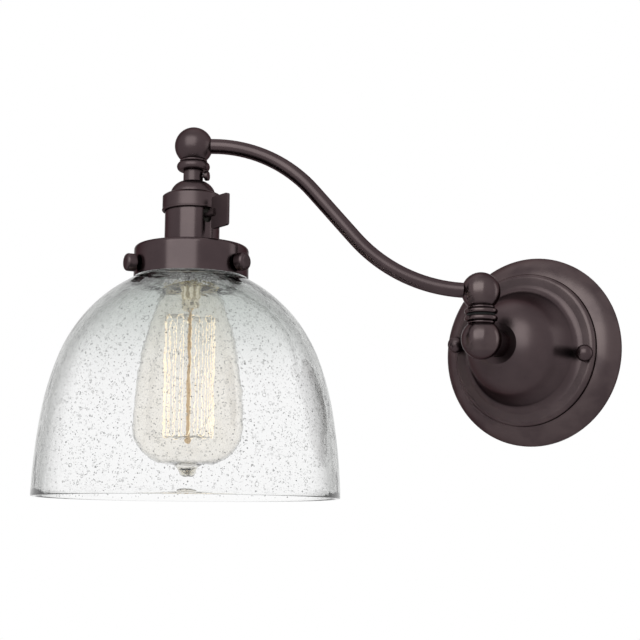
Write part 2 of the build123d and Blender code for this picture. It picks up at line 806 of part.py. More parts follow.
# Socket interior: insulating body with the switch chamber and two screw terminals
terminal_azimuths = (key_azimuth - 90, key_azimuth + 90)
terminal_height = body_top - terminal_screw_drop
rotor_chamber = rotor_length / 2 + rotor_gap
with BuildPart() as socket_body:
    extrude(disc(lamp_level(body_end), body_radius), amount=body_height)
    for azimuth in terminal_azimuths:
        recess_plane = Plane(at_lamp(body_top), x_dir=toward(azimuth), z_dir=(0, 0, 1))
        with BuildSketch(recess_plane) as recess:
            with Locations((terminal_flat + body_radius / 2, 0)):
                Rectangle(body_radius, terminal_recess_width)
        extrude(recess.sketch, amount=-terminal_recess_height, mode=Mode.SUBTRACT)
        terminal_face = facing(at_lamp(terminal_height), azimuth, terminal_flat)
        terminal_hole = disc(terminal_face, terminal_screw_radius + thread_gap)
        extrude(terminal_hole, amount=-terminal_screw_depth, mode=Mode.SUBTRACT)
    chamber = disc(key_plane.offset(-rotor_chamber), rotor_radius + rotor_gap)
    extrude(chamber, amount=2 * rotor_chamber, mode=Mode.SUBTRACT)
    extrude(disc(key_plane, key_shaft_radius + running_gap), amount=2 * body_radius, mode=Mode.SUBTRACT)
save(socket_body, "socket_body")

with BuildPart() as terminal_screws:
    for azimuth in terminal_azimuths:
        terminal_seat = facing(at_lamp(terminal_height), azimuth, terminal_flat)
        extrude(disc(terminal_seat, terminal_screw_radius), amount=-terminal_screw_depth)
        extrude(disc(terminal_seat, terminal_head_radius), amount=terminal_head_height)
save(terminal_screws, "terminal_screws")

with BuildPart() as socket_leads:
    for azimuth in terminal_azimuths:
        lead_spoke = spoke(lamp_centre, azimuth)
        lead_out = terminal_flat + terminal_head_height / 2
        lead_top = head_nipple_end - lead_gap
        lead_foot = terminal_height + terminal_head_radius + seat_gap
        lead_points = [
            lead_spoke.from_local_coords((terminal_lead_spread, lead_top)),
            lead_spoke.from_local_coords((terminal_lead_spread, lead_top - 2 * terminal_lead_bend)),
            lead_spoke.from_local_coords((lead_out, body_top + 2 * terminal_lead_bend)),
            lead_spoke.from_local_coords((lead_out, lead_foot)),
        ]
        with BuildLine() as terminal_path:
            FilletPolyline(*lead_points, radius=terminal_lead_bend)
        with BuildSketch(Plane(lead_points[0], z_dir=(0, 0, -1))) as terminal_wire:
            Circle(terminal_lead_radius)
        sweep(terminal_wire.sketch, path=terminal_path.wires()[0])
save(socket_leads, "socket_leads")

# Screw shell of the socket and screw base of the bulb, with the same rolled thread
contact_tip = body_end - contact_drop - contact_thickness
bulb_top = contact_tip - seat_gap
insulator_top = bulb_top - bulb_contact_height
base_top = insulator_top - bulb_insulator_height
thread_top = base_top - base_lead_in
thread_end = thread_top - base_thread_turns * base_thread_pitch
base_end = thread_end - base_skirt
thread_mean = base_crest_radius - base_thread_depth / 2


def rolled_thread(shift):
    """Wavy line of the rolled thread in the lamp's half section, moved out by shift."""
    quarter = base_thread_pitch / 4
    mean = thread_mean + shift
    for turn in range(base_thread_turns):
        start = thread_top - turn * base_thread_pitch
        middle = start - 2 * quarter
        crest = (mean + base_thread_depth / 2, start - quarter)
        root = (mean - base_thread_depth / 2, middle - quarter)
        ThreePointArc((mean, start), crest, (mean, middle))
        ThreePointArc((mean, middle), root, (mean, start - base_thread_pitch))


def threaded_tube(inner_shift, outer_shift, top, bottom, bottom_radius):
    """Half section of a thin tube with the rolled thread, plain from there to its bottom."""
    skirt = bottom_radius - thread_mean
    with BuildSketch(lamp_section) as section:
        with BuildLine():
            rolled_thread(inner_shift)
            Polyline(
                (thread_mean + inner_shift, thread_end),
                (thread_mean + skirt + inner_shift, thread_end),
                (thread_mean + skirt + inner_shift, bottom),
                (thread_mean + skirt + outer_shift, bottom),
                (thread_mean + skirt + outer_shift, thread_end),
                (thread_mean + outer_shift, thread_end),
            )
            rolled_thread(outer_shift)
            Polyline(
                (thread_mean + outer_shift, thread_top),
                (thread_mean + outer_shift, top),
                (thread_mean + inner_shift, top),
                (thread_mean + inner_shift, thread_top),
            )
        make_face()
    return section.sketch


screw_shell_shift = base_gap + screw_shell_wall
with BuildPart() as screw_shell:
    shell_tube = threaded_tube(base_gap, screw_shell_shift, body_end, screw_shell_end, base_crest_radius)
    revolve(shell_tube, axis=lamp_axis)
    top_flange = disc(lamp_level(body_end), thread_mean + screw_shell_shift, screw_shell_opening)
    extrude(top_flange, amount=-screw_shell_wall)
save(screw_shell, "screw_shell")

with BuildPart() as centre_contact:
    with BuildSketch(spoke(at_lamp(body_end), key_azimuth)) as leaf:
        with BuildLine():
            Polyline(
                (-contact_reach, 0),
                (-contact_reach / 2, 0),
                (contact_reach / 4, -contact_drop),
                (contact_reach / 2, -contact_drop),
                (contact_reach / 2, -contact_drop - contact_thickness),
                (contact_reach / 4, -contact_drop - contact_thickness),
                (-contact_reach / 2, -contact_thickness),
                (-contact_reach, -contact_thickness),
                close=True,
            )
        make_face()
    extrude(leaf.sketch, amount=contact_width / 2, both=True)
save(centre_contact, "centre_contact")

# Turn key with its rotor
key_spoke = spoke(key_centre, key_azimuth)
key_boss_start = key_paddle_inner - key_boss_lead
key_shaft_end = key_boss_start + key_boss_length - key_boss_lead
with BuildPart() as key_shaft:
    key_shaft_face = disc(key_plane.offset(-key_shaft_inner), key_shaft_radius)
    extrude(key_shaft_face, amount=key_shaft_inner + key_shaft_end)
save(key_shaft, "key_shaft")

with BuildPart() as switch_rotor:
    rotor_face = disc(key_plane.offset(-rotor_length / 2), rotor_radius, key_shaft_radius + thread_gap)
    extrude(rotor_face, amount=rotor_length)
save(switch_rotor, "switch_rotor")

with BuildPart() as key_paddle:
    with BuildSketch(key_spoke) as paddle:
        with Locations((key_paddle_inner + key_paddle_length / 2, 0)):
            RectangleRounded(key_paddle_length, key_paddle_height, key_paddle_corner)
    extrude(paddle.sketch, amount=key_paddle_thickness / 2, both=True)
    extrude(disc(key_plane.offset(key_boss_start), key_boss_radius), amount=key_boss_length)
    shaft_hole = disc(key_plane.offset(key_boss_start), key_shaft_radius + thread_gap)
    extrude(shaft_hole, amount=key_shaft_end + thread_gap - key_boss_start, mode=Mode.SUBTRACT)
save(key_paddle, "key_paddle")

# Shade holder, its ring nut and thumb screws
holder_bore = shell_radius + seat_gap


def holder_section(inset):
    """Half section under the holder's skin, drawn in from it."""

    def skin(radius, height):
        return (radius - inset, height - inset)

    cone_top = skin(holder_bore, holder_top)
    cone_end = skin(holder_cone_radius, holder_top - holder_cone_drop)
    corner_end = skin(holder_radius, holder_top - holder_cone_drop - holder_corner_drop)
    skirt_end = (holder_radius - inset, holder_end - inset)
    with BuildSketch(lamp_section) as section:
        with BuildLine():
            Polyline(corner_end, skirt_end, (0, holder_end - inset), (0, holder_top - inset), cone_top)
            Line(cone_top, cone_end)
            SagittaArc(cone_end, corner_end, holder_corner_bulge)
        make_face()
    return section.sketch


holder_screw_height = holder_end + holder_screw_rise
holder_screw_turn = 360 / holder_screw_count
holder_screw_azimuths = [holder_screw_azimuth + n * holder_screw_turn for n in range(holder_screw_count)]
with BuildPart() as shade_holder:
    revolve(holder_section(0), axis=lamp_axis)
    revolve(holder_section(holder_wall), axis=lamp_axis, mode=Mode.SUBTRACT)
    extrude(disc(lamp_level(holder_end), holder_bore), amount=2 * holder_height, mode=Mode.SUBTRACT)
    for azimuth in holder_screw_azimuths:
        screw_line = facing(at_lamp(holder_screw_height), azimuth, 0)
        screw_hole = disc(screw_line, holder_screw_radius + thread_gap)
        extrude(screw_hole, amount=2 * holder_radius, mode=Mode.SUBTRACT)
save(shade_holder, "shade_holder")

cone_fall = holder_cone_drop / (holder_cone_radius - holder_bore)
ring_fall = cone_fall * (holder_ring_radius + holder_wall - holder_bore)
holder_ring_top = holder_top - holder_wall - ring_fall - seat_gap
with BuildPart() as holder_ring:
    ring_face = disc(lamp_level(holder_ring_top), holder_ring_radius, holder_bore)
    extrude(ring_face, amount=-holder_ring_height)
    ring_edges = edges().filter_by(GeomType.CIRCLE).group_by(SortBy.RADIUS)[-1]
    fillet(ring_edges.group_by(Axis.Z)[0], holder_ring_height / 4)
save(holder_ring, "holder_ring")

glass_lip_radius = holder_radius - holder_wall - glass_lip_gap
glass_neck_radius = glass_lip_radius - glass_lip_step
holder_screw_tip = glass_neck_radius + seat_gap
screw_neck_end = holder_radius + holder_screw_neck
screw_head_end = screw_neck_end + holder_screw_head
with BuildPart() as holder_screws:
    for azimuth in holder_screw_azimuths:
        screw_spoke = spoke(at_lamp(holder_screw_height), azimuth)
        with BuildSketch(screw_spoke) as screw_half:
            with BuildLine():
                Polyline(
                    (screw_head_end, holder_screw_head_radius - holder_screw_round),
                    (screw_head_end, 0),
                    (holder_screw_tip, 0),
                    (holder_screw_tip, holder_screw_radius),
                    (holder_radius + seat_gap, holder_screw_radius),
                    (holder_radius + seat_gap, holder_screw_neck_radius),
                    (screw_neck_end, holder_screw_neck_radius),
                    (screw_neck_end, holder_screw_head_radius),
                    (screw_head_end - holder_screw_round, holder_screw_head_radius),
                )
                TangentArc(
                    (screw_head_end - holder_screw_round, holder_screw_head_radius),
                    (screw_head_end, holder_screw_head_radius - holder_screw_round),
                    tangent=(1, 0),
                )
            make_face()
        revolve(screw_half.sketch, axis=Axis(screw_spoke.origin, screw_spoke.x_dir))
save(holder_screws, "holder_screws")

# Glass shade: lip and neck in the holder, then a dome of three arcs down to the open mouth
glass_lip_end = holder_screw_height + holder_screw_radius + glass_lip_rest
glass_lip_top = glass_lip_end + glass_lip_height
shade_top = holder_end + shade_shoulder_rise
shade_end = shade_top - shade_height


def dome_line(inset):
    """Outline of the dome from its mouth to its neck, drawn in by inset; gives the arcs in order."""
    lean = radians(mouth_lean)
    start = (mouth_radius - inset, shade_end)
    low = JernArc(start, (-sin(lean), cos(lean)), mouth_arc_radius - inset, mouth_arc)
    side = JernArc(low @ 1, low % 1, side_arc_radius - inset, side_arc)
    high = TangentArc(side @ 1, (glass_neck_radius - inset, shade_top - inset), tangent=side % 1)
    return low, high


with BuildPart() as shade:
    with BuildSketch(lamp_section):
        with BuildLine():
            outer_low, outer_high = dome_line(0)
            Polyline(
                outer_high @ 1,
                (glass_neck_radius, glass_lip_end),
                (glass_lip_radius, glass_lip_end),
                (glass_lip_radius, glass_lip_top),
                (glass_neck_radius - glass_wall, glass_lip_top),
                (glass_neck_radius - glass_wall, shade_top - glass_wall),
            )
            inner_low = dome_line(glass_wall)[0]
            Line(inner_low @ 0, outer_low @ 0)
        make_face()
    revolve(axis=lamp_axis)
save(shade, "shade")

# Bulb: screw base with its insulator and centre contact
with BuildPart() as bulb_contact:
    with BuildSketch(lamp_section):
        with BuildLine():
            Polyline((0, bulb_top), (0, insulator_top), (bulb_contact_radius, insulator_top))
            TangentArc((0, bulb_top), (bulb_contact_radius, insulator_top), tangent=(1, 0))
        make_face()
    revolve(axis=lamp_axis)
save(bulb_contact, "bulb_contact")

base_inner = thread_mean - base_metal
with BuildPart() as bulb_insulator:
    insulator_half = half_section(
        lamp_section,
        (0, insulator_top),
        (bulb_contact_radius, insulator_top),
        (bulb_insulator_radius, base_top),
        (base_inner - seat_gap, base_top),
        (base_inner - seat_gap, base_top - base_lead_in),
        (0, base_top - base_lead_in),
    )
    revolve(insulator_half, axis=lamp_axis)
save(bulb_insulator, "bulb_insulator")

with BuildPart() as bulb_base:
    revolve(threaded_tube(-base_metal, 0, base_top, base_end, base_crest_radius), axis=lamp_axis)
save(bulb_base, "bulb_base")

# Bulb envelope
bulb_end = base_end - bulb_length
shoulder_height = base_end - bulb_shoulder_drop
neck_top = base_end + bulb_neck_length


def envelope_section(inset, tip):
    """Half section of the bulb's envelope, drawn in by inset, with its sealing tip if asked."""
    floor = bulb_end + inset
    corner = (bulb_radius - bulb_corner, floor)
    belly = (bulb_radius - inset, bulb_end + bulb_corner)
    shoulder = (bulb_shoulder_radius - inset, shoulder_height - inset / 2)
    neck = (bulb_neck_radius - inset, base_end - bulb_neck_show - inset)
    neck_end = (bulb_neck_radius - inset, neck_top + inset)
    with BuildSketch(lamp_section) as section:
        with BuildLine():
            if tip:
                tip_end = (0, bulb_end - bulb_tip_length)
                tip_side = (bulb_tip_radius, bulb_end - bulb_tip_root)
                SagittaArc(tip_end, tip_side, -bulb_tip_radius * quarter_rise)
                SagittaArc(tip_side, corner, bulb_tip_root / 4)
            else:
                tip_end = (0, floor)
                Line(tip_end, corner)
            JernArc(corner, (1, 0), bulb_corner - inset, 90)
            TangentArc(belly, shoulder, tangent=(0, 1))
            SagittaArc(shoulder, neck, -bulb_shoulder_bulge)
            Polyline(neck, neck_end, (0, neck_top + inset), tip_end)
        make_face()
    return section.sketch


with BuildPart() as bulb_glass:
    revolve(envelope_section(0, True), axis=lamp_axis)
    revolve(envelope_section(bulb_wall, False), axis=lamp_axis, mode=Mode.SUBTRACT)
save(bulb_glass, "bulb_glass")

# Glass mount: flare, tube and flat press
flare_radius = bulb_neck_radius - bulb_wall - flare_gap
flare_top = base_end + bulb_neck_length / 2
flare_end = flare_top - flare_height
tube_end = flare_end - stem_tube_length
press_end = tube_end - press_height
with BuildPart() as bulb_stem:
    with BuildSketch(lamp_section):
        with BuildLine():
            Polyline(
                (flare_radius, flare_top),
                (stem_tube_bore, flare_top),
                (stem_tube_bore, tube_end),
                (stem_tube_radius, tube_end),
                (stem_tube_radius, flare_end),
            )
            TangentArc((stem_tube_radius, flare_end), (flare_radius, flare_top), tangent=(0, 1))
        make_face()
    revolve(axis=lamp_axis)
    with BuildSketch(lamp_level(press_end)) as press:
        RectangleRounded(press_width, press_thickness, press_thickness / 3)
    extrude(press.sketch, amount=press_height)
save(bulb_stem, "bulb_stem")

cage_top = base_end - cage_drop
cage_end = cage_top - cage_height
strand_step = 360 / strand_count
bend_half_width = cage_radius * sin(radians(strand_step / 2))
bend_middle_radius = cage_radius * cos(radians(strand_step / 2))
cage_azimuth = arm_azimuth
with BuildPart() as filament_post:
    extrude(disc(lamp_level(press_end - seat_gap), post_radius), amount=cage_end - post_overrun - press_end)
    with Locations(at_lamp(cage_end - post_overrun)):
        Sphere(1.5 * post_radius)
save(filament_post, "filament_post")


def in_cage(strand, height):
    """Point on the cage's round, at a strand's place counted from the first one."""
    return at_lamp(height) + toward(cage_azimuth + (strand + 0.5) * strand_step) * cage_radius


def bend_middle(strand, height):
    """Point halfway between a strand and the next one."""
    return at_lamp(height) + toward(cage_azimuth + (strand + 1) * strand_step) * bend_middle_radius


# Filament: one unbroken wire, down and up round the cage between two rows of hooks
with BuildPart() as filament:
    with BuildLine() as filament_path:
        for strand in range(strand_count):
            going_down = strand % 2 == 0
            start, end = (cage_top, cage_end) if going_down else (cage_end, cage_top)
            apex = cage_end - bend_half_width if going_down else cage_top + bend_half_width
            Line(in_cage(strand, start), in_cage(strand, end))
            if strand < strand_count - 1:
                ThreePointArc(in_cage(strand, end), bend_middle(strand, apex), in_cage(strand + 1, end))
    with BuildSketch(Plane(in_cage(0, cage_top), z_dir=(0, 0, -1))):
        Circle(strand_radius)
    sweep(path=filament_path.wires()[0])
save(filament, "filament")
print("filament: least gap between strands", round(2 * bend_half_width - 2 * strand_radius, 2), "mm")

# Hooks: one level wire from the post into each bend of the filament
hook_inset = bend_half_width - strand_radius - hook_radius - seat_gap
with BuildPart() as filament_hooks:
    for strand in range(strand_count - 1):
        hook_height = cage_end - hook_inset if strand % 2 == 0 else cage_top + hook_inset
        hook_azimuth = cage_azimuth + (strand + 1) * strand_step
        hook_start = facing(at_lamp(hook_height), hook_azimuth, post_radius + seat_gap)
        hook_length = bend_middle_radius + hook_overrun - post_radius
        extrude(disc(hook_start, hook_radius), amount=hook_length)
save(filament_hooks, "filament_hooks")

# Leads from the press to the two ends of the filament
with BuildPart() as bulb_leads:
    for strand, side in ((0, 1), (strand_count - 1, -1)):
        across = toward(cage_azimuth + 90) * (side * cage_lead_spread)
        lead_points = [
            at_lamp(press_end - seat_gap) + across,
            at_lamp((press_end + cage_top) / 2) + across,
            in_cage(strand, (press_end + cage_top) / 2),
            in_cage(strand, cage_top + seat_gap),
        ]
        with BuildLine() as cage_lead_path:
            FilletPolyline(*lead_points, radius=cage_lead_bend)
        with BuildSketch(Plane(lead_points[0], z_dir=(0, 0, -1))) as cage_lead:
            Circle(cage_lead_radius)
        sweep(cage_lead.sketch, path=cage_lead_path.wires()[0])
save(bulb_leads, "bulb_leads")
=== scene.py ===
import bpy
import bmesh
import math
from mathutils import Matrix, Vector


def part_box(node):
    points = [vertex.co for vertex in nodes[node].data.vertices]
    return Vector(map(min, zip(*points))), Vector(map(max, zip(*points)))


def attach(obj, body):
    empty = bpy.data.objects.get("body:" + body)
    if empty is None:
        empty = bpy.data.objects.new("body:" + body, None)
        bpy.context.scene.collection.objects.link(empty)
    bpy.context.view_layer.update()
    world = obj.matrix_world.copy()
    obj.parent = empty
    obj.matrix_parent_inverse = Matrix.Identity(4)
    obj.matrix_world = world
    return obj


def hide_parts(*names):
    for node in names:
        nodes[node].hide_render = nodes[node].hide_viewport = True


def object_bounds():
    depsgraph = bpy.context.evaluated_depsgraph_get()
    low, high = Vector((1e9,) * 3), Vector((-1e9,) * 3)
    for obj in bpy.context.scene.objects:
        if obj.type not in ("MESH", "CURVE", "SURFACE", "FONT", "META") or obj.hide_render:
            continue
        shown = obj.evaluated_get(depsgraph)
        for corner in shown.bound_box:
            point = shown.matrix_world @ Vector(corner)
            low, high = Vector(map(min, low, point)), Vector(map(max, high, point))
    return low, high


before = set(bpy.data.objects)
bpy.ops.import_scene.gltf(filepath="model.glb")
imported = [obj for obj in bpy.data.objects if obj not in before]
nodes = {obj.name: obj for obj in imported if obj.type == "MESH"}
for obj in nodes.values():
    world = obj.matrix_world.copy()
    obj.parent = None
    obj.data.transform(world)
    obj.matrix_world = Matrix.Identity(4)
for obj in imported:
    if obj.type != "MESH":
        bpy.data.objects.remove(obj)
cadLow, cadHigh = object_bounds()
scene = bpy.context.scene
print("lamp: frame loaded with", len(nodes), "nodes")


# Axes that the turned pieces share, read from the frame
def middleOf(node):
    low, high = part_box(node)
    return (low + high) / 2


lampAxis = middleOf("socket_cap")
swivelAxis = middleOf("swivel_washer")
wallAxis = Vector((0, 0, 0))


class Wire:
    # one socket of a shader; arithmetic on wires adds Math nodes
    def __init__(self, finish, socket):
        self.finish = finish
        self.socket = socket

    def maths(self, operation, first, second):
        return self.finish.add("ShaderNodeMath", {"operation": operation}, {0: first, 1: second})["Value"]

    def __add__(self, other):
        return self.maths("ADD", self, other)

    def __sub__(self, other):
        return self.maths("SUBTRACT", self, other)

    def __rsub__(self, other):
        return self.maths("SUBTRACT", other, self)

    def __mul__(self, other):
        return self.maths("MULTIPLY", self, other)

    def __pow__(self, other):
        return self.maths("POWER", self, other)

    __radd__ = __add__
    __rmul__ = __mul__


class Finish:
    # one node tree: add() makes every node, the other methods are short ways to call it
    def __init__(self, owner):
        owner.use_nodes = True
        self.owner = owner
        self.tree = owner.node_tree
        self.tree.nodes.clear()

    def add(self, kind, settings, sockets):
        node = self.tree.nodes.new(kind)
        for key, value in settings.items():
            setattr(node, key, value)
        for key, value in sockets.items():
            target = node.inputs[key]
            if isinstance(value, Wire):
                self.tree.links.new(value.socket, target)
            else:
                target.default_value = value
        return {socket.name: Wire(self, socket) for socket in node.outputs if socket.enabled}

    def place(self, centre=(0, 0, 0)):
        spot = self.add("ShaderNodeTexCoord", {}, {})["Object"]
        return self.add("ShaderNodeVectorMath", {"operation": "SUBTRACT"}, {0: spot, 1: centre})["Vector"]

    def split(self, vector):
        parts = self.add("ShaderNodeSeparateXYZ", {}, {0: vector})
        return parts["X"], parts["Y"], parts["Z"]

    def join(self, x, y, z):
        return self.add("ShaderNodeCombineXYZ", {}, {0: x, 1: y, 2: z})["Vector"]

    def noise(self, vector, scale, detail=2.0):
        settings = {"noise_dimensions": "3D", "normalize": True}
        sockets = {"Vector": vector, "Scale": scale, "Detail": detail}
        return self.add("ShaderNodeTexNoise", settings, sockets)["Fac"]

    def smooth(self, value, low, high):
        settings = {"interpolation_type": "SMOOTHSTEP", "clamp": True}
        return self.add("ShaderNodeMapRange", settings, {0: value, 1: low, 2: high})["Result"]

    def blend(self, factor, first, second):
        settings = {"data_type": "RGBA", "blend_type": "MIX"}
        return self.add("ShaderNodeMix", settings, {0: factor, 6: opaque(first), 7: opaque(second)})["Result"]

    def bump(self, height, distance):
        return self.add("ShaderNodeBump", {}, {"Strength": 1.0, "Distance": distance, "Height": height})["Normal"]

    def around(self, centre, alongY=False):
        # distance from a turned piece's axis, and height along it
        x, y, z = self.split(self.place(centre))
        across, along = (z, y) if alongY else (y, z)
        return (x * x + across * across) ** 0.5, along

    def facing(self):
        return self.add("ShaderNodeLayerWeight", {}, {"Blend": 0.5})["Facing"]

    def absorb(self, look):
        sockets = {"Color": look["absorb"], "Density": look["density"]}
        return self.add("ShaderNodeVolumeAbsorption", {}, sockets)["Volume"]

    def surface(self, sockets):
        return self.add("ShaderNodeBsdfPrincipled", {}, sockets)["BSDF"]

    def close(self, shader, volume=None):
        out = {"Surface": shader}
        if volume:
            out["Volume"] = volume
        self.add("ShaderNodeOutputMaterial", {}, out)
        return self.owner


def opaque(colour):
    return colour if isinstance(colour, Wire) else (*colour, 1.0)


def newFinish(name):
    return Finish(bpy.data.materials.new(name))


# Oil-rubbed bronze: dark brown satin metal with lathe marks, cloudy patina and lighter ridges, partly rubbed wear
# on the high points and partly a painted highlight
bronzeLook = {
    "brown": (0.060, 0.043, 0.046),
    "patina": (0.070, 0.050, 0.053),
    "rubbedAndSheen": (0.115, 0.086, 0.086),
    "edge": (0.40, 0.38, 0.38, 1.0),
    "satin": 0.33,
    "brushed": 0.24,
    "drawn": 0.26,
    "stamped": 0.48,
    "stretch": 0.75,
    "lay": 0.25,  # direction of the brushing, as a share of a turn
    "cloudScale": 55.0,
    "cloudGloss": 0.08,
    "grainScale": 1900.0,
    "grainGloss": 0.04,
    "markScale": 1500.0,
    "markGloss": 0.08,
    "markDepth": 0.000005,
    "rubbedAndSheenShare": 0.3,
}


def patinaColour(f, clouds):
    return f.blend(f.smooth(clouds, 0.35, 0.7), bronzeLook["brown"], bronzeLook["patina"])


def bronze(name, centre=None, alongY=False, rubbedAndSheenFrom=None, rubbedAndSheenTo=None, worked="satin"):
    look = bronzeLook
    f = newFinish(name)
    spot = f.place()
    clouds = f.noise(spot, look["cloudScale"], 3.0)
    grain = f.noise(spot, look["grainScale"], 1.0)
    colour = patinaColour(f, clouds)
    sockets = {"Metallic": 1.0, "Specular Tint": look["edge"]}
    roughness = look[worked] + (clouds - 0.5) * look["cloudGloss"] + (grain - 0.5) * look["grainGloss"]
    if centre is not None:
        radius, along = f.around(centre, alongY)
        marks = f.noise(f.join(radius, along, 0.0), look["markScale"], 2.0)
        roughness = roughness + (marks - 0.5) * look["markGloss"]
        sockets["Normal"] = f.bump(marks, look["markDepth"])
        # a lighter band between two radii: partly rubbed wear, partly a painted highlight
        if rubbedAndSheenFrom:
            rubAndSheen = f.smooth(radius, rubbedAndSheenFrom, rubbedAndSheenTo) * f.smooth(clouds, 0.3, 0.6)
            colour = f.blend(rubAndSheen * look["rubbedAndSheenShare"], colour, look["rubbedAndSheen"])
    if worked == "brushed":
        sockets["Anisotropic"] = look["stretch"]
        sockets["Anisotropic Rotation"] = look["lay"]
    sockets["Base Color"] = colour
    sockets["Roughness"] = roughness
    return f.close(f.surface(sockets))


# Bright metals and insulators: one recipe with its own colours, gloss and grain for each
plainLooks = {
    "zincPlate": {"dark": (0.42, 0.43, 0.45), "light": (0.62, 0.63, 0.62), "metal": 1.0, "roughness": 0.34},
    "brightBrass": {"dark": (0.55, 0.39, 0.17), "light": (0.78, 0.60, 0.30), "metal": 1.0, "roughness": 0.28},
    "nickelPlate": {"dark": (0.52, 0.50, 0.49), "light": (0.74, 0.72, 0.70), "metal": 1.0, "roughness": 0.22},
    "solderTin": {"dark": (0.48, 0.48, 0.48), "light": (0.70, 0.70, 0.69), "metal": 1.0, "roughness": 0.30},
    "groundGreen": {"dark": (0.02, 0.15, 0.05), "light": (0.04, 0.24, 0.08), "metal": 0.3, "roughness": 0.35},
    "frictionFibre": {
        "dark": (0.006, 0.006, 0.006), "light": (0.014, 0.013, 0.013),
        "metal": 0.0, "roughness": 0.62, "shine": 0.1,
    },
    "leadJacket": {"dark": (0.010, 0.010, 0.010), "light": (0.022, 0.021, 0.020), "metal": 0.0, "roughness": 0.45},
    "fibreSleeve": {
        "dark": (0.008, 0.007, 0.006), "light": (0.018, 0.016, 0.014),
        "metal": 0.0, "roughness": 0.75, "shine": 0.1,
    },
    "phenolic": {
        "dark": (0.010, 0.009, 0.008), "light": (0.028, 0.024, 0.021),
        "metal": 0.0, "roughness": 0.38, "shine": 0.1,
    },
}
plainGrain = {
    "patchScale": 140.0,
    "patchGloss": 0.20,
    "patchShare": 0.65,
    "grainScale": 2200.0,
    "grainGloss": 0.08,
    "grainShare": 0.35,
    "grainDepth": 0.000008,
    "shine": 0.5,
}


def plain(name):
    look, size = plainLooks[name], plainGrain
    f = newFinish(name)
    spot = f.place()
    patches = f.noise(spot, size["patchScale"], 4.0)
    grain = f.noise(spot, size["grainScale"], 2.0)
    mixed = f.smooth(patches * size["patchShare"] + grain * size["grainShare"], 0.35, 0.65)
    sockets = {
        "Base Color": f.blend(mixed, look["dark"], look["light"]),
        "Metallic": look["metal"],
        "Roughness": look["roughness"] + (patches - 0.5) * size["patchGloss"] + (grain - 0.5) * size["grainGloss"],
        "Specular IOR Level": look.get("shine", size["shine"]),
        "Normal": f.bump(grain, size["grainDepth"]),
    }
    return f.close(f.surface(sockets))


# Socket shell and shade holder: bronze outside, bare plated metal where the holder covers it.
# The bare metal glows in its plated colour: painted light, which stands for the bulb's own light that falls on it
# through the glass
bareLook = {
    "plated": (0.84, 0.84, 0.84),
    "crazed": (0.07, 0.07, 0.07),
    "brassEdge": (0.34, 0.29, 0.15),
    "roughness": 0.30,
    "shine": 0.45,
    "crackScale": 640.0,
    "crackWidth": 0.22,
    "crackDepth": 0.00012,
    "markShare": 0.04,
    "coatFadeUp": 0.0006,
    "coatFadeIn": 0.0001,
    "brassHeight": 0.0012,
    "brassFade": 0.0003,
    # painted light: strength of the bare metal's glow
    "glow": 0.70,
}


def bareFinish(name, bareBelow, bareWithin, crackle):
    look, coat = bareLook, bronzeLook
    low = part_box("socket_shell")[0].z
    f = newFinish(name)
    spot = f.place()
    radius, along = f.around(lampAxis)
    height = f.split(spot)[2]
    clouds = f.noise(spot, coat["cloudScale"], 3.0)
    marks = f.noise(f.join(radius, along, 0.0), coat["markScale"], 2.0)
    settings = {"feature": "DISTANCE_TO_EDGE"}
    cracks = f.add("ShaderNodeTexVoronoi", settings, {"Vector": spot, "Scale": look["crackScale"]})
    crazing = (1.0 - f.smooth(cracks["Distance"], 0.0, look["crackWidth"])) * crackle
    under = f.smooth(bareBelow - height, 0.0, look["coatFadeUp"])
    bare = under * f.smooth(bareWithin - radius, 0.0, look["coatFadeIn"])
    brown = patinaColour(f, clouds)
    plated = f.blend(crazing, look["plated"], look["crazed"])
    foot = f.smooth(low + look["brassHeight"] - height, 0.0, look["brassFade"])
    plated = f.blend(foot, plated, look["brassEdge"])
    satin = coat["brushed"] + (marks - 0.5) * coat["markGloss"] + (clouds - 0.5) * coat["cloudGloss"]
    sockets = {
        "Base Color": f.blend(bare, brown, plated),
        "Metallic": 1.0 - bare * (1.0 - look["shine"]),
        "Roughness": satin * (1.0 - bare) + bare * look["roughness"],
        "Specular Tint": coat["edge"],
        "Anisotropic": coat["stretch"],
        "Anisotropic Rotation": coat["lay"],
        "Normal": f.bump(bare * crazing + (1.0 - bare) * marks * look["markShare"], look["crackDepth"]),
        # painted light: the bare metal glows in its plated colour
        "Emission Color": f.blend(bare, (0, 0, 0), plated),
        "Emission Strength": look["glow"],
    }
    return f.close(f.surface(sockets))


# Seeded glass of the shade: greyer towards the crown, partly thicker glass there and partly painted shade for a
# darker reflection from above; ripples all over
shadeGlassLook = {
    "clear": (0.992, 0.992, 0.993),
    # grey of the crown: partly thicker glass, partly painted shade for a darker reflection from above
    "crown": (0.640, 0.672, 0.650),
    # darker edges: painted shade for the darker surroundings that grazing glass mirrors, partly the longer path
    # through the glass
    "edge": (0.120, 0.126, 0.115),
    "absorb": (0.49, 0.51, 0.49, 1.0),
    "density": 16.0,
    "gleam": 0.12,
    "ior": 1.46,
    "crownFrom": 0.070,
    "edgeFrom": 0.40,
    "edgeTo": 0.94,
    "roughness": 0.006,
    "rippleScale": 260.0,
    "rippleGloss": 0.006,
    "rippleDepth": 0.00007,
    "waveScale": 45.0,
    "waveShare": 5.0,
}


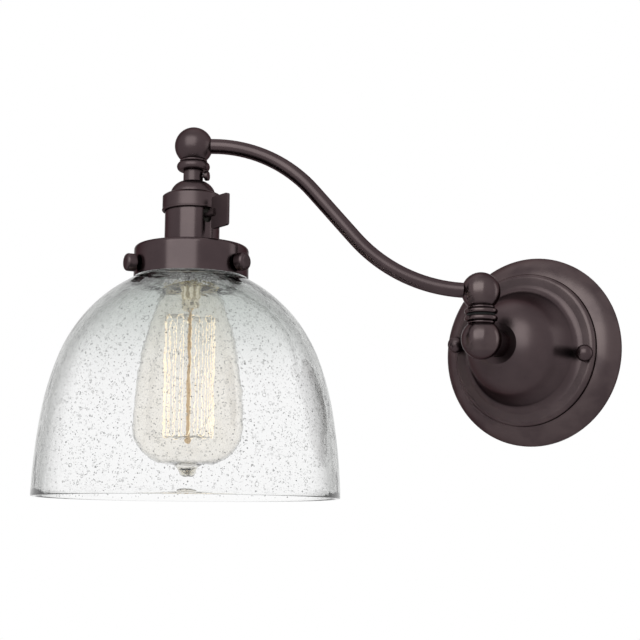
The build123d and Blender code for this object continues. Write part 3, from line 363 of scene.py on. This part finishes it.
def shadeGlass():
    look = shadeGlassLook
    low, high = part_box("shade")
    f = newFinish("seededGlass")
    spot = f.place()
    height = f.split(spot)[2]
    ripples = f.noise(spot, look["rippleScale"], 2.0)
    waves = f.noise(spot, look["waveScale"], 2.0)
    # towards the crown: where the painted shade and thicker glass grey the glass
    crown = f.smooth(height, low.z + look["crownFrom"], high.z)
    body = f.blend(crown, look["clear"], look["crown"])
    sockets = {
        # painted shade towards the edges, where the glass is seen at a grazing angle
        "Base Color": f.blend(f.smooth(f.facing(), look["edgeFrom"], look["edgeTo"]), body, look["edge"]),
        "Roughness": look["roughness"] + ripples * look["rippleGloss"],
        "IOR": look["ior"],
        "Specular IOR Level": look["gleam"],
        "Transmission Weight": 1.0,
        "Normal": f.bump(ripples * (0.5 + crown) + waves * look["waveShare"], look["rippleDepth"]),
    }
    return f.close(f.surface(sockets), f.absorb(look))


# Seeds: air bubbles, clear in the middle and painted dark round the edge, a painted shade for the light that each
# bubble bends away
seedLook = {"dark": (0.09, 0.095, 0.09), "pale": (0.30, 0.31, 0.30), "toneScale": 900.0, "roughness": 0.15}


def seedFinish(name, middle, rim):
    look = seedLook
    f = newFinish(name)
    tone = f.noise(f.place(), look["toneScale"], 1.0)
    sockets = {
        "Base Color": f.blend(tone, look["dark"], look["pale"]),
        "Roughness": look["roughness"],
        # painted shade: the seed turns opaque grey towards its rim
        "Alpha": middle + f.smooth(f.facing(), 0.2, 0.8) * (rim - middle),
    }
    return f.close(f.surface(sockets))


# Bulb: faintly warm glass, an olive glass mount with a dark press, a tan rod; the mount and the rod glow a little,
# painted light for the light that falls on them inside the bulb
bulbLook = {
    "clear": (0.980, 0.965, 0.938),
    "smoke": (0.960, 0.942, 0.905),
    # darker edges: painted shade for the darker surroundings that grazing glass mirrors, partly the longer path
    # through the glass
    "edge": (0.320, 0.315, 0.275),
    "absorb": (0.50, 0.485, 0.42, 1.0),
    "density": 22.0,
    "gleam": 0.25,
    "ior": 1.46,
    "edgeFrom": 0.62,
    "edgeTo": 0.96,
    "rippleScale": 120.0,
    "rippleGloss": 0.012,
    "rippleDepth": 0.00008,
}


def bulbGlass():
    look = bulbLook
    f = newFinish("bulbEnvelope")
    spot = f.place()
    ripples = f.noise(spot, look["rippleScale"], 2.0)
    body = f.blend(f.smooth(ripples, 0.3, 0.7), look["clear"], look["smoke"])
    sockets = {
        # painted shade towards the edges, where the bulb is seen at a grazing angle
        "Base Color": f.blend(f.smooth(f.facing(), look["edgeFrom"], look["edgeTo"]), body, look["edge"]),
        "Roughness": ripples * look["rippleGloss"],
        "IOR": look["ior"],
        "Specular IOR Level": look["gleam"],
        "Transmission Weight": 1.0,
        "Normal": f.bump(ripples, look["rippleDepth"]),
    }
    return f.close(f.surface(sockets), f.absorb(look))


mountLook = {
    "pale": (0.86, 0.83, 0.72),
    "olive": (0.34, 0.29, 0.17),
    "press": (0.70, 0.66, 0.55),
    "flaw": (0.04, 0.035, 0.025),
    "streaks": 9.0,
    "grainScale": 500.0,
    "pressHeight": 0.0075,
    "pressFade": 0.003,
    "roughness": 0.06,
    "grainGloss": 0.06,
    "clearness": 0.5,
    # painted light: strength of the mount's glow
    "glow": 0.35,
}


def mountFinish():
    look = mountLook
    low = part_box("bulb_stem")[0]
    f = newFinish("bulbMount")
    x, y, _ = f.split(f.place(lampAxis))
    height = f.split(f.place())[2]
    angle = f.add("ShaderNodeMath", {"operation": "ARCTAN2"}, {0: y, 1: x})["Value"]
    wave = f.add("ShaderNodeMath", {"operation": "SINE"}, {0: angle * look["streaks"]})["Value"]
    grain = f.noise(f.place(), look["grainScale"], 2.0)
    olive = f.blend(f.smooth(wave + (grain - 0.5) * 1.2, -0.5, 0.6), look["pale"], look["olive"])
    pressed = f.smooth(low.z + look["pressHeight"] - height, 0.0, look["pressFade"])
    colour = f.blend(pressed, olive, f.blend(f.smooth(grain, 0.5, 0.62), look["press"], look["flaw"]))
    sockets = {
        "Base Color": colour,
        "Roughness": look["roughness"] + grain * look["grainGloss"],
        "IOR": bulbLook["ior"],
        "Transmission Weight": look["clearness"],
        # painted light: the mount glows in its own colour
        "Emission Color": colour,
        "Emission Strength": look["glow"],
    }
    return f.close(f.surface(sockets))


postLook = {
    "brown": (0.50, 0.33, 0.15),
    "tan": (0.74, 0.56, 0.33),
    # colours of the rod's painted glow
    "brownPaintedGlow": (0.55, 0.33, 0.12),
    "tanPaintedGlow": (0.80, 0.56, 0.28),
    "glow": 0.30,
    "streakScale": 900.0,
    "drawnOut": (1, 1, 0.1),
    "roughness": 0.18,
    "streakGloss": 0.15,
    "coat": 0.4,
}


def postFinish():
    look = postLook
    f = newFinish("tanGlassRod")
    drawn = {0: f.place(), 1: look["drawnOut"]}
    along = f.add("ShaderNodeVectorMath", {"operation": "MULTIPLY"}, drawn)["Vector"]
    streaks = f.noise(along, look["streakScale"])
    sockets = {
        "Base Color": f.blend(streaks, look["brown"], look["tan"]),
        "Roughness": look["roughness"] + streaks * look["streakGloss"],
        # painted light: the rod glows in its own colours
        "Emission Color": f.blend(streaks, look["brownPaintedGlow"], look["tanPaintedGlow"]),
        "Emission Strength": look["glow"],
        "Coat Weight": look["coat"],
    }
    return f.close(f.surface(sockets))


filamentLook = {
    "wireDark": (0.55, 0.42, 0.22),
    "wireLight": (0.85, 0.72, 0.46),
    "warm": (1.0, 0.85, 0.62),
    "hot": (1.0, 0.93, 0.80),
    "strength": 1.05,
    "coilPitch": 0.0009,
    "patchScale": 60.0,
}


def filamentFinish():
    look = filamentLook
    f = newFinish("glowingFilament")
    height = f.split(f.place())[2]
    coil = f.add("ShaderNodeMath", {"operation": "SINE"}, {0: height * (math.tau / look["coilPitch"])})["Value"]
    glow = f.smooth(coil * 0.25 + f.noise(f.place(), look["patchScale"], 1.0), 0.2, 0.8)
    sockets = {
        "Base Color": f.blend(glow, look["wireDark"], look["wireLight"]),
        "Roughness": 0.4 + glow * 0.2,
        "Emission Color": f.blend(glow, look["warm"], look["hot"]),
        "Emission Strength": look["strength"],
    }
    return f.close(f.surface(sockets))


# Which finish each node of the frame wears
finishes = {
    bronze("canopyBronze", wallAxis, True, 0.044, 0.050): ["canopy"],
    bronze("stemBronze", wallAxis, True): ["stem"],
    bronze("swivelBronze", swivelAxis, False, 0.0095, 0.0104, "brushed"): ["swivel_base", "swivel_knuckle"],
    bronze("headBronze", lampAxis): ["lamp_ball", "socket_cap", "holder_ring"],
    bareFinish("holderBronze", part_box("shade_holder")[1].z - 0.005, 0.0352, 0.7): ["shade_holder"],
    bronze("armBronze", worked="drawn"): ["arm_tube"],
    bronze("keyBronze", worked="stamped"): ["key_paddle", "key_shaft"],
    bronze("smallBronze"): ["canopy_nuts", "cap_set_screw", "holder_screws"],
    bareFinish("shellBronze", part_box("shade_holder")[1].z - 0.002, 0.05, 1.0): ["socket_shell"],
    plain("zincPlate"): [
        "box_strap", "swivel_strap", "strap_screw", "canopy_studs", "stud_locknuts", "stem_locknut",
        "stem_nipple", "stem_washer", "swivel_spindle", "swivel_stop_screw", "head_nipple", "terminal_screws",
    ],
    plain("groundGreen"): ["ground_screw"],
    plain("frictionFibre"): ["swivel_washer"],
    plain("leadJacket"): ["supply_lead", "arm_lead", "socket_leads"],
    plain("fibreSleeve"): ["socket_sleeve"],
    plain("phenolic"): ["socket_body", "switch_rotor", "bulb_insulator"],
    plain("brightBrass"): ["screw_shell", "centre_contact"],
    plain("nickelPlate"): ["bulb_base"],
    plain("solderTin"): ["bulb_contact", "bulb_leads", "filament_hooks"],
    bulbGlass(): ["bulb_glass"],
    mountFinish(): ["bulb_stem"],
    postFinish(): ["filament_post"],
    filamentFinish(): ["filament"],
}
for finish, names in finishes.items():
    for name in names:
        slots = nodes[name].data.materials
        slots.clear()
        slots.append(finish)
print("lamp: finishes on", sum(len(names) for names in finishes.values()), "nodes")


# Shade: the dome's wall drawn again with an even mesh and a melted rim
shadeSizes = {
    "wall": 0.003,
    "height": 0.1376,
    "neck": 0.0314,
    "lip": 0.0330,
    "lipFoot": 0.1453,
    "mouthLean": 1.2,
    "arcs": ((0.375, 7.5, 10), (0.184, 11.7, 12)),
    "crownSteps": 26,
    "rimRound": 0.0006,
    "turns": 224,
    "crease": 50.0,
    "bedFoot": 0.0017,
    "bedTurns": 96,
}


def turn(vector, degrees):
    a = math.radians(degrees)
    c, s = math.cos(a), math.sin(a)
    return Vector((vector.x * c - vector.y * s, vector.x * s + vector.y * c))


def arcOn(line, heading, radius, sweep, steps):
    # carries a line on along an arc that bends to the left, and gives the new heading
    centre = line[-1] + turn(heading, 90) * radius
    spoke = line[-1] - centre
    line.extend(centre + turn(spoke, sweep * step / steps) for step in range(1, steps + 1))
    return turn(heading, sweep)


def domeLine(mouth, inset):
    sizes = shadeSizes
    line = [Vector((mouth - inset, 0))]
    heading = turn(Vector((0, 1)), sizes["mouthLean"])
    for radius, sweep, steps in sizes["arcs"]:
        heading = arcOn(line, heading, radius - inset, sweep, steps)
    chord = Vector((sizes["neck"] - inset, sizes["height"] - inset)) - line[-1]
    across = chord.dot(turn(heading, 90))
    arcOn(
        line, heading, chord.length_squared / (2 * across),
        math.degrees(2 * math.atan2(across, chord.dot(heading))), sizes["crownSteps"],
    )
    return line


def lathe(name, outline, centre, turns, closed):
    # turns a line of (radius, height) points about a vertical axis
    mesh = bpy.data.meshes.new(name)
    points, faces = [], []
    count = len(outline)
    for step in range(turns):
        c, s = math.cos(math.tau * step / turns), math.sin(math.tau * step / turns)
        points.extend((centre.x + p.x * c, centre.y + p.x * s, centre.z + p.y) for p in outline)
    for step in range(turns):
        here, there = step * count, (step + 1) % turns * count
        for i in range(count if closed else count - 1):
            j = (i + 1) % count
            faces.append((here + i, there + i, there + j, here + j))
    mesh.from_pydata(points, [], faces)
    mesh.update()
    work = bmesh.new()
    work.from_mesh(mesh)
    bmesh.ops.recalc_face_normals(work, faces=work.faces)
    work.to_mesh(mesh)
    work.free()
    mesh.polygons.foreach_set("use_smooth", [True] * len(mesh.polygons))
    mesh.set_sharp_from_angle(angle=math.radians(shadeSizes["crease"]))
    piece = bpy.data.objects.new(name, mesh)
    scene.collection.objects.link(piece)
    return piece


def makeShade():
    sizes = shadeSizes
    low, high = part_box("shade")
    mouth, wall, tall = (high.x - low.x) / 2, sizes["wall"], high.z - low.z
    outer, inner = domeLine(mouth, 0), domeLine(mouth, wall)
    melt = sizes["rimRound"]
    rim = [  # corners melted round
        Vector((mouth - wall, melt)),
        Vector((mouth - wall + 0.3 * melt, 0.3 * melt)),
        Vector((mouth - wall + melt, 0)),
        Vector((mouth - melt, 0)),
        Vector((mouth - 0.3 * melt, 0.3 * melt)),
        Vector((mouth - 0.02 * melt, melt)),
    ]
    lip = [
        Vector((sizes["neck"], sizes["lipFoot"])), Vector((sizes["lip"], sizes["lipFoot"])),
        Vector((sizes["lip"], tall)), Vector((sizes["neck"] - wall, tall)),
    ]
    outline = rim + outer[1:] + lip + inner[:0:-1]
    centre = Vector(((low.x + high.x) / 2, (low.y + high.y) / 2, low.z))
    shade = lathe("seeded_shade", outline, centre, sizes["turns"], True)
    shade.data.materials.append(shadeGlass())
    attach(shade, "head")
    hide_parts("shade")
    bed = domeLine(mouth, wall / 2)
    bed[0] = bed[0].lerp(bed[1], sizes["bedFoot"] / bed[1].y)
    return lathe("seedBed", bed[:-2], centre, sizes["bedTurns"], False)


seedBed = makeShade()
print("lamp: shade turned")

# Seeds in the glass, scattered through the wall's middle: many fine ones, some larger, a few large flat ones
seedSizes = {
    "fine_seeds": {
        "perSquareMetre": 52000.0, "small": 0.00020, "large": 0.00048, "seed": 11, "fineness": 1,
        "middle": 0.40, "rim": 0.80,
    },
    "more_seeds": {
        "perSquareMetre": 52000.0, "small": 0.00020, "large": 0.00048, "seed": 23, "fineness": 1,
        "middle": 0.40, "rim": 0.80,
    },
    "middle_seeds": {
        "perSquareMetre": 27000.0, "small": 0.00042, "large": 0.00085, "seed": 29, "fineness": 2,
        "middle": 0.06, "rim": 0.95,
    },
    "large_seeds": {
        "perSquareMetre": 1600.0, "small": 0.00085, "large": 0.00150, "seed": 41, "fineness": 3,
        "middle": 0.0, "rim": 0.92,
    },
}
seedShape = {"rarity": 2.6, "flattest": (0.8, 0.8, 0.55), "fullest": (1.25, 1.25, 0.95)}


def seedTree(fineness):
    tree = bpy.data.node_groups.new("scatterSeeds", "GeometryNodeTree")
    keys = {}
    for label, kind in (
        ("Bed", "NodeSocketGeometry"), ("Per square metre", "NodeSocketFloat"), ("Smallest", "NodeSocketFloat"),
        ("Largest", "NodeSocketFloat"), ("Seed", "NodeSocketInt"), ("Glass seed", "NodeSocketMaterial"),
    ):
        keys[label] = tree.interface.new_socket(name=label, in_out="INPUT", socket_type=kind).identifier
    tree.interface.new_socket(name="Seeds", in_out="OUTPUT", socket_type="NodeSocketGeometry")

    def add(kind, settings, sockets):
        node = tree.nodes.new(kind)
        for key, value in settings.items():
            setattr(node, key, value)
        for key, value in sockets.items():
            if isinstance(value, bpy.types.NodeSocket):
                tree.links.new(value, node.inputs[key])
            else:
                node.inputs[key].default_value = value
        return node

    given = add("NodeGroupInput", {}, {}).outputs
    points = add(
        "GeometryNodeDistributePointsOnFaces", {"distribute_method": "RANDOM"},
        {"Mesh": given["Bed"], "Density": given["Per square metre"], "Seed": given["Seed"]},
    ).outputs
    chance = add("FunctionNodeRandomValue", {"data_type": "FLOAT"}, {"Seed": given["Seed"]}).outputs["Value"]
    rare = add("ShaderNodeMath", {"operation": "POWER"}, {0: chance, 1: seedShape["rarity"]}).outputs[0]
    size = add(
        "ShaderNodeMapRange", {}, {0: rare, 3: given["Smallest"], 4: given["Largest"]},
    ).outputs["Result"]
    flat = add("ShaderNodeCombineXYZ", {}, {0: size, 1: size, 2: size}).outputs[0]
    stretch = add(
        "FunctionNodeRandomValue", {"data_type": "FLOAT_VECTOR"},
        {0: seedShape["flattest"], 1: seedShape["fullest"]},
    ).outputs["Value"]
    scale = add("ShaderNodeVectorMath", {"operation": "MULTIPLY"}, {0: flat, 1: stretch}).outputs[0]
    ball = add(
        "GeometryNodeMeshIcoSphere", {}, {"Radius": 1.0, "Subdivisions": fineness},
    ).outputs["Mesh"]
    seeds = add(
        "GeometryNodeInstanceOnPoints", {},
        {"Points": points["Points"], "Instance": ball, "Rotation": points["Rotation"], "Scale": scale},
    ).outputs[0]
    real = add("GeometryNodeRealizeInstances", {}, {0: seeds}).outputs[0]
    smooth = add("GeometryNodeSetShadeSmooth", {}, {0: real}).outputs[0]
    glassy = add("GeometryNodeSetMaterial", {}, {"Geometry": smooth, "Material": given["Glass seed"]}).outputs[0]
    add("NodeGroupOutput", {}, {0: glassy})
    return tree, keys


def scatter(name, sizes):
    tree, keys = seedTree(sizes["fineness"])
    spread = seedBed.modifiers.new(name, "NODES")
    spread.node_group = tree
    spread[keys["Per square metre"]] = sizes["perSquareMetre"]
    spread[keys["Smallest"]] = sizes["small"]
    spread[keys["Largest"]] = sizes["large"]
    spread[keys["Seed"]] = sizes["seed"]
    spread[keys["Glass seed"]] = seedFinish(name, sizes["middle"], sizes["rim"])
    made = bpy.data.meshes.new_from_object(seedBed.evaluated_get(bpy.context.evaluated_depsgraph_get()))
    seedBed.modifiers.remove(spread)
    seeds = bpy.data.objects.new(name, made)
    seeds.visible_glossy = False  # mirrored in the metal they would only be specks
    scene.collection.objects.link(seeds)
    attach(seeds, "head")
    print("lamp:", name, len(made.polygons), "faces")


for name, sizes in seedSizes.items():
    scatter(name, sizes)
bpy.data.objects.remove(seedBed)

# Studio: white all round for what looks straight, glossy or through glass, softer light for the rest
studioLook = {
    "white": 1.0,
    "ambient": 0.55,
    "floorDrop": 0.30,
    "floorRadius": 5.0,
    "floorSides": 96,
    "floorPale": (0.85, 0.82, 0.83),
    "floorGrey": (0.81, 0.78, 0.79),
    "whiteFrom": 0.5,
    "whiteTo": 1.6,
    "whiteMirrored": 0.6,
    "boxTint": (0.86, 1.0, 0.93),
}


def lookingRays(f):
    # what looks straight or through glass, and what looks by way of metal
    path = f.add("ShaderNodeLightPath", {}, {})
    seen = {0: path["Is Camera Ray"], 1: path["Is Transmission Ray"]}
    straight = f.add("ShaderNodeMath", {"operation": "MAXIMUM"}, seen)["Value"]
    return straight, path["Is Glossy Ray"] * (1.0 - straight)


def makeWorld():
    look = studioLook
    scene.world = bpy.data.worlds.new("studio")
    f = Finish(scene.world)
    straight, mirrored = lookingRays(f)
    strength = look["ambient"] + (straight + mirrored) * (look["white"] - look["ambient"])
    light = f.add("ShaderNodeBackground", {}, {"Color": (1, 1, 1, 1), "Strength": strength})["Background"]
    f.add("ShaderNodeOutputWorld", {}, {"Surface": light})


def makeFloor():
    look = studioLook
    f = newFinish("paleFloor")
    spot = f.place()
    x, y, _ = f.split(spot)
    away = (x * x + y * y) ** 0.5
    tone = f.noise(spot, 3.0, 3.0)
    board = f.surface({
        "Base Color": f.blend(tone, look["floorPale"], look["floorGrey"]),
        "Roughness": 0.75 + tone * 0.1,
    })
    haze = f.add("ShaderNodeEmission", {}, {"Color": (1, 1, 1, 1), "Strength": look["white"]})["Emission"]
    straight, mirrored = lookingRays(f)
    far = f.smooth(away, look["whiteFrom"], look["whiteTo"])
    near = look["whiteMirrored"]
    fade = far * straight + (far * (1.0 - near) + near) * mirrored
    f.close(f.add("ShaderNodeMixShader", {}, {0: fade, 1: board, 2: haze})["Shader"])
    mesh = bpy.data.meshes.new("floor")
    sides = look["floorSides"]
    turns = [math.tau * n / sides for n in range(sides)]
    wide, height = look["floorRadius"], cadLow.z - look["floorDrop"]
    mesh.from_pydata([(wide * math.cos(a), wide * math.sin(a), height) for a in turns], [], [range(sides)])
    mesh.materials.append(f.owner)
    floor = bpy.data.objects.new("floor", mesh)
    scene.collection.objects.link(floor)


makeWorld()
makeFloor()

# Softboxes, aimed at the lamp's middle: azimuth from straight out of the wall towards +X, then elevation
softboxes = {
    "keyBox": {"azimuth": 15.0, "elevation": 26.0, "distance": 1.2, "wide": 1.35, "tall": 1.2, "radiance": 2.4},
    "fillBox": {"azimuth": 128.0, "elevation": 10.0, "distance": 1.2, "wide": 0.3, "tall": 0.8, "radiance": 1.4},
    "topBox": {"azimuth": -120.0, "elevation": 72.0, "distance": 1.2, "wide": 0.8, "tall": 0.8, "radiance": 0.6},
}


def clearPieces():
    # what the boxes pass over, so that no lamp mirrors itself in the clear glass
    glass = bpy.data.collections.new("clearGlass")
    for piece in (bpy.data.objects["seeded_shade"], nodes["bulb_glass"]):
        glass.objects.link(piece)
    for member in glass.collection_objects:
        member.light_linking.link_state = "EXCLUDE"
    return glass


def makeSoftbox(name, box, spared):
    a, e = math.radians(box["azimuth"]), math.radians(box["elevation"])
    aim = (cadLow + cadHigh) / 2
    outwards = Vector((math.sin(a) * math.cos(e), -math.cos(a) * math.cos(e), math.sin(e)))
    light = bpy.data.lights.new(name, "AREA")
    light.shape = "RECTANGLE"
    light.color = studioLook["boxTint"]
    light.size = box["wide"]
    light.size_y = box["tall"]
    light.energy = box["radiance"] * math.pi * box["wide"] * box["tall"]
    lamp = bpy.data.objects.new(name, light)
    lamp.location = aim + outwards * box["distance"]
    lamp.rotation_euler = (-outwards).to_track_quat("-Z", "Y").to_euler()
    lamp.visible_camera = False
    lamp.light_linking.receiver_collection = spared
    scene.collection.objects.link(lamp)


clearGlass = clearPieces()
for name, box in softboxes.items():
    makeSoftbox(name, box, clearGlass)

# Camera: below the lamp and to its right, looking up a little
cameraView = {
    "place": (0.4136, -0.8861, -0.1218),
    "yaw": 33.304,
    "pitch": 8.364,
    "roll": 0.459,
    "lens": 82.82,
    "sensor": 36.0,
}


def makeCamera():
    view = cameraView
    yaw, pitch, roll = (math.radians(view[key]) for key in ("yaw", "pitch", "roll"))
    forward = Vector((-math.sin(yaw) * math.cos(pitch), math.cos(yaw) * math.cos(pitch), math.sin(pitch)))
    level = Vector((math.cos(yaw), math.sin(yaw), 0))
    above = level.cross(forward)
    right = level * math.cos(roll) + above * math.sin(roll)
    up = above * math.cos(roll) - level * math.sin(roll)
    lens = bpy.data.cameras.new("camera")
    lens.sensor_width = view["sensor"]
    lens.lens = view["lens"]
    lens.clip_start = 0.01
    lens.clip_end = 50.0
    camera = bpy.data.objects.new("camera", lens)
    camera.matrix_world = Matrix.Translation(view["place"]) @ Matrix((right, up, -forward)).transposed().to_4x4()
    scene.collection.objects.link(camera)
    scene.camera = camera


makeCamera()
scene.view_settings.view_transform = "Standard"
print("lamp: studio and camera ready")
